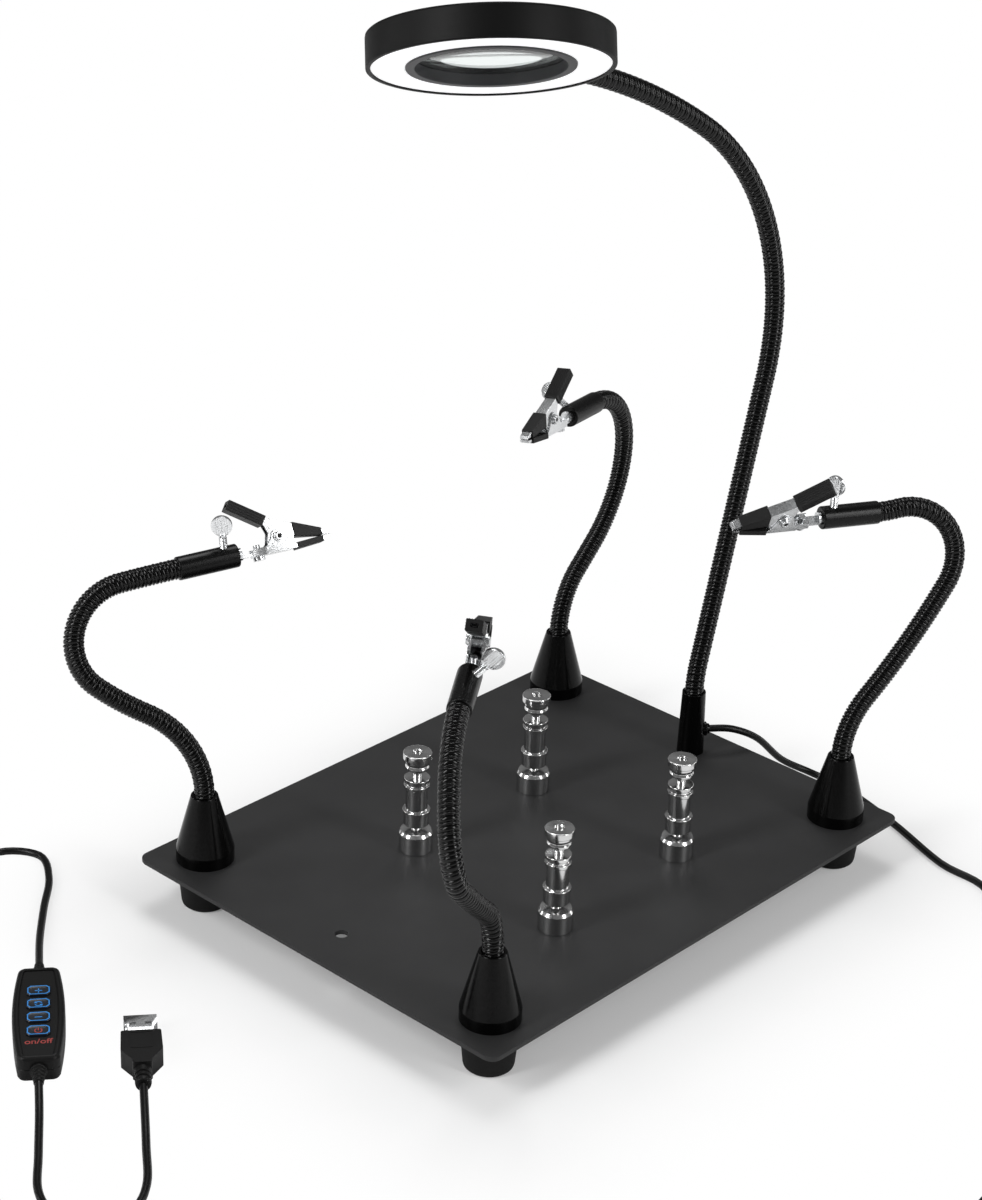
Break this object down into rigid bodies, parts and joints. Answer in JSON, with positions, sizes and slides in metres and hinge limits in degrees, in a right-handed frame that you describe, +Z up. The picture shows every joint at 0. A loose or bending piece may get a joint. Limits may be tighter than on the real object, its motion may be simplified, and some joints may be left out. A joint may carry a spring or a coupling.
{
  "type": "helping hands clamp",
  "caption": "Helping hands clamp: steel plate on rubber feet, flexible arms with alligator clips, magnetic board pillars, magnifying ring lamp and USB cord with controller.",
  "frame": {"origin": "centre of the steel plate's top face", "axes": "+Z up, out of the plate's top; +X along the plate's longer side, towards the lamp post; +Y along its shorter side"},
  "size_m": [0.4295, 0.4089, 0.3628],
  "materials": {
    "plate_steel": "satin fine-texture powder coat",
    "foot_rubber": "matte",
    "screw_steel": "zinc-plated",
    "socket_black": "gloss black",
    "neck_black": "gloss black spiral",
    "tube_black": "satin black",
    "thumbscrew_steel": "bright nickel",
    "clip_steel": "bright nickel",
    "sleeve_vinyl": "matte",
    "fitting_steel": "nickel",
    "pillar_chrome": "mirror",
    "lamp_housing": "matte fine texture",
    "diffuser": "frosted white",
    "bezel_grey": "satin",
    "lens_glass": "polished",
    "case_black": "satin",
    "button_dark": "satin",
    "cord_black": "satin PVC",
    "plug_steel": "nickel"
  },
  "bodies": {
    "base": {"base_plate": "plate_steel", "rubber_feet": "foot_rubber", "foot_screws": "screw_steel", "arm_sockets": "socket_black", "lamp_post": "socket_black", "controller_case": "case_black", "lamp_cord": "cord_black", "plug_cord": "cord_black", "plug_grip": "case_black", "plug_shell": "plug_steel"},
    "front_arm_lower": {"front_neck_lower": "neck_black"},
    "front_arm_upper": {"front_neck_upper": "neck_black", "front_clamp_tube": "tube_black"},
    "front_screw": {"front_thumbscrew": "thumbscrew_steel"},
    "front_clip": {"front_lower_jaw": "clip_steel", "front_lower_sleeve": "sleeve_vinyl", "front_clip_fittings": "fitting_steel"},
    "front_jaw": {"front_upper_jaw": "clip_steel", "front_upper_sleeves": "sleeve_vinyl"},
    "left_arm_lower": {"left_neck_lower": "neck_black"},
    "left_arm_upper": {"left_neck_upper": "neck_black", "left_clamp_tube": "tube_black"},
    "left_screw": {"left_thumbscrew": "thumbscrew_steel"},
    "left_clip": {"left_lower_jaw": "clip_steel", "left_lower_sleeve": "sleeve_vinyl", "left_clip_fittings": "fitting_steel"},
    "left_jaw": {"left_upper_jaw": "clip_steel", "left_upper_sleeves": "sleeve_vinyl"},
    "right_arm_lower": {"right_neck_lower": "neck_black"},
    "right_arm_upper": {"right_neck_upper": "neck_black", "right_clamp_tube": "tube_black"},
    "right_screw": {"right_thumbscrew": "thumbscrew_steel"},
    "right_clip": {"right_lower_jaw": "clip_steel", "right_lower_sleeve": "sleeve_vinyl", "right_clip_fittings": "fitting_steel"},
    "right_jaw": {"right_upper_jaw": "clip_steel", "right_upper_sleeves": "sleeve_vinyl"},
    "back_arm_lower": {"back_neck_lower": "neck_black"},
    "back_arm_upper": {"back_neck_upper": "neck_black", "back_clamp_tube": "tube_black"},
    "back_screw": {"back_thumbscrew": "thumbscrew_steel"},
    "back_clip": {"back_lower_jaw": "clip_steel", "back_lower_sleeve": "sleeve_vinyl", "back_clip_fittings": "fitting_steel"},
    "back_jaw": {"back_upper_jaw": "clip_steel", "back_upper_sleeves": "sleeve_vinyl"},
    "lamp_lower": {"lamp_neck_lower": "neck_black"},
    "lamp_upper": {"lamp_neck_upper": "neck_black"},
    "lamp_head": {"ring_housing": "lamp_housing", "ring_light_panel": "diffuser", "lens_bezel": "bezel_grey", "magnifier_lens": "lens_glass"},
    "front_pillar": {"front_pillar": "pillar_chrome"},
    "left_pillar": {"left_pillar": "pillar_chrome"},
    "right_pillar": {"right_pillar": "pillar_chrome"},
    "back_pillar": {"back_pillar": "pillar_chrome"},
    "brighter_button": {"brighter_button": "button_dark"},
    "colour_button": {"colour_button": "button_dark"},
    "dimmer_button": {"dimmer_button": "button_dark"},
    "power_button": {"power_button": "button_dark"}
  },
  "joints": [
    {"name": "front_swivel", "type": "hinge", "parent": "base", "child": "front_arm_lower", "pos_m": [-0.1015, -0.0755, 0.028], "axis": [0, 0, 1], "range_deg": [-75, 75]},
    {"name": "front_bend", "type": "hinge", "parent": "front_arm_lower", "child": "front_arm_upper", "pos_m": [-0.13868, -0.09363, 0.07637], "axis": [0.5538, -0.8182, 0.1545], "range_deg": [-25, 25]},
    {"name": "front_clip_spin", "type": "hinge", "parent": "front_arm_upper", "child": "front_clip", "pos_m": [-0.10183, -0.05924, 0.12643], "axis": [0.8191, 0.5687, 0.0753], "continuous": true},
    {"name": "front_screw_turn", "type": "hinge", "parent": "front_arm_upper", "child": "front_screw", "pos_m": [-0.09741, -0.06097, 0.13117], "axis": [0.3282, -0.5722, 0.7516], "continuous": true},
    {"name": "front_jaw_open", "type": "hinge", "parent": "front_clip", "child": "front_jaw", "pos_m": [-0.08171, -0.04549, 0.13167], "axis": [0.5728, -0.8179, -0.0537], "range_deg": [0, 11], "stiffness_Nm_per_rad": 0.2, "springref_deg": -17.19},
    {"name": "left_swivel", "type": "hinge", "parent": "base", "child": "left_arm_lower", "pos_m": [-0.1015, 0.0755, 0.028], "axis": [0, 0, 1], "range_deg": [-75, 75]},
    {"name": "left_bend", "type": "hinge", "parent": "left_arm_lower", "child": "left_arm_upper", "pos_m": [-0.13471, 0.09707, 0.07804], "axis": [-0.3719, -0.9047, 0.208], "range_deg": [-25, 25]},
    {"name": "left_clip_spin", "type": "hinge", "parent": "left_arm_upper", "child": "left_clip", "pos_m": [-0.08456, 0.08567, 0.11811], "axis": [0.9281, -0.3663, 0.0661], "continuous": true},
    {"name": "left_screw_turn", "type": "hinge", "parent": "left_arm_upper", "child": "left_screw", "pos_m": [-0.08203, 0.08501, 0.12429], "axis": [-0.042, 0.0735, 0.9964], "continuous": true},
    {"name": "left_jaw_open", "type": "hinge", "parent": "left_clip", "child": "left_jaw", "pos_m": [-0.06115, 0.07837, 0.12262], "axis": [-0.3439, -0.7757, 0.5293], "range_deg": [0, 11], "stiffness_Nm_per_rad": 0.2, "springref_deg": -17.19},
    {"name": "right_swivel", "type": "hinge", "parent": "base", "child": "right_arm_lower", "pos_m": [0.1015, -0.0755, 0.028], "axis": [0, 0, 1], "range_deg": [-75, 75]},
    {"name": "right_bend", "type": "hinge", "parent": "right_arm_lower", "child": "right_arm_upper", "pos_m": [0.14158, -0.08969, 0.09556], "axis": [0.4936, 0.8629, -0.1086], "range_deg": [-25, 25]},
    {"name": "right_clip_spin", "type": "hinge", "parent": "right_arm_upper", "child": "right_clip", "pos_m": [0.10262, -0.06331, 0.12804], "axis": [-0.8681, 0.4965, -0.0011], "continuous": true},
    {"name": "right_screw_turn", "type": "hinge", "parent": "right_arm_upper", "child": "right_screw", "pos_m": [0.09992, -0.06198, 0.13403], "axis": [-0.0162, -0.0262, 0.9995], "continuous": true},
    {"name": "right_jaw_open", "type": "hinge", "parent": "right_clip", "child": "right_jaw", "pos_m": [0.08039, -0.05243, 0.13102], "axis": [0.4389, 0.7684, 0.4658], "range_deg": [0, 11], "stiffness_Nm_per_rad": 0.2, "springref_deg": -17.19},
    {"name": "back_swivel", "type": "hinge", "parent": "base", "child": "back_arm_lower", "pos_m": [0.1015, 0.0755, 0.028], "axis": [0, 0, 1], "range_deg": [-75, 75]},
    {"name": "back_bend", "type": "hinge", "parent": "back_arm_lower", "child": "back_arm_upper", "pos_m": [0.1274, 0.08007, 0.06128], "axis": [-0.221, 0.9726, 0.0723], "range_deg": [-25, 25]},
    {"name": "back_clip_spin", "type": "hinge", "parent": "back_arm_upper", "child": "back_clip", "pos_m": [0.09789, 0.06803, 0.13304], "axis": [-0.9718, -0.2258, 0.0678], "continuous": true},
    {"name": "back_screw_turn", "type": "hinge", "parent": "back_arm_upper", "child": "back_screw", "pos_m": [0.09403, 0.07235, 0.13643], "axis": [-0.1565, 0.8328, 0.531], "continuous": true},
    {"name": "back_jaw_open", "type": "hinge", "parent": "back_clip", "child": "back_jaw", "pos_m": [0.074, 0.06296, 0.13808], "axis": [-0.2333, 0.9628, -0.1362], "range_deg": [0, 11], "stiffness_Nm_per_rad": 0.2, "springref_deg": -17.19},
    {"name": "lamp_swivel", "type": "hinge", "parent": "base", "child": "lamp_lower", "pos_m": [0.1015, 0, 0.028], "axis": [0, 0, 1], "range_deg": [-60, 60]},
    {"name": "lamp_bend", "type": "hinge", "parent": "lamp_lower", "child": "lamp_upper", "pos_m": [0.13024, -0.00201, 0.15957], "axis": [0.0698, 0.9976, 0], "range_deg": [-20, 20]},
    {"name": "lamp_tilt", "type": "hinge", "parent": "lamp_upper", "child": "lamp_head", "pos_m": [0.01875, 0.00579, 0.30289], "axis": [-0.0541, 0.9292, -0.3655], "range_deg": [-30, 30]},
    {"name": "front_pillar_lift", "type": "slide", "parent": "base", "child": "front_pillar", "axis": [0, 0, 1], "range_m": [0, 0.03]},
    {"name": "left_pillar_lift", "type": "slide", "parent": "base", "child": "left_pillar", "axis": [0, 0, 1], "range_m": [0, 0.03]},
    {"name": "right_pillar_lift", "type": "slide", "parent": "base", "child": "right_pillar", "axis": [0, 0, 1], "range_m": [0, 0.03]},
    {"name": "back_pillar_lift", "type": "slide", "parent": "base", "child": "back_pillar", "axis": [0, 0, 1], "range_m": [0, 0.03]},
    {"name": "brighter_press", "type": "slide", "parent": "base", "child": "brighter_button", "axis": [0, 0, -1], "range_m": [0, 0.0005], "stiffness_N_per_m": 3000, "springref_m": -0.0002},
    {"name": "colour_press", "type": "slide", "parent": "base", "child": "colour_button", "axis": [0, 0, -1], "range_m": [0, 0.0005], "stiffness_N_per_m": 3000, "springref_m": -0.0002},
    {"name": "dimmer_press", "type": "slide", "parent": "base", "child": "dimmer_button", "axis": [0, 0, -1], "range_m": [0, 0.0005], "stiffness_N_per_m": 3000, "springref_m": -0.0002},
    {"name": "power_press", "type": "slide", "parent": "base", "child": "power_button", "axis": [0, 0, -1], "range_m": [0, 0.0005], "stiffness_N_per_m": 3000, "springref_m": -0.0002}
  ]
}
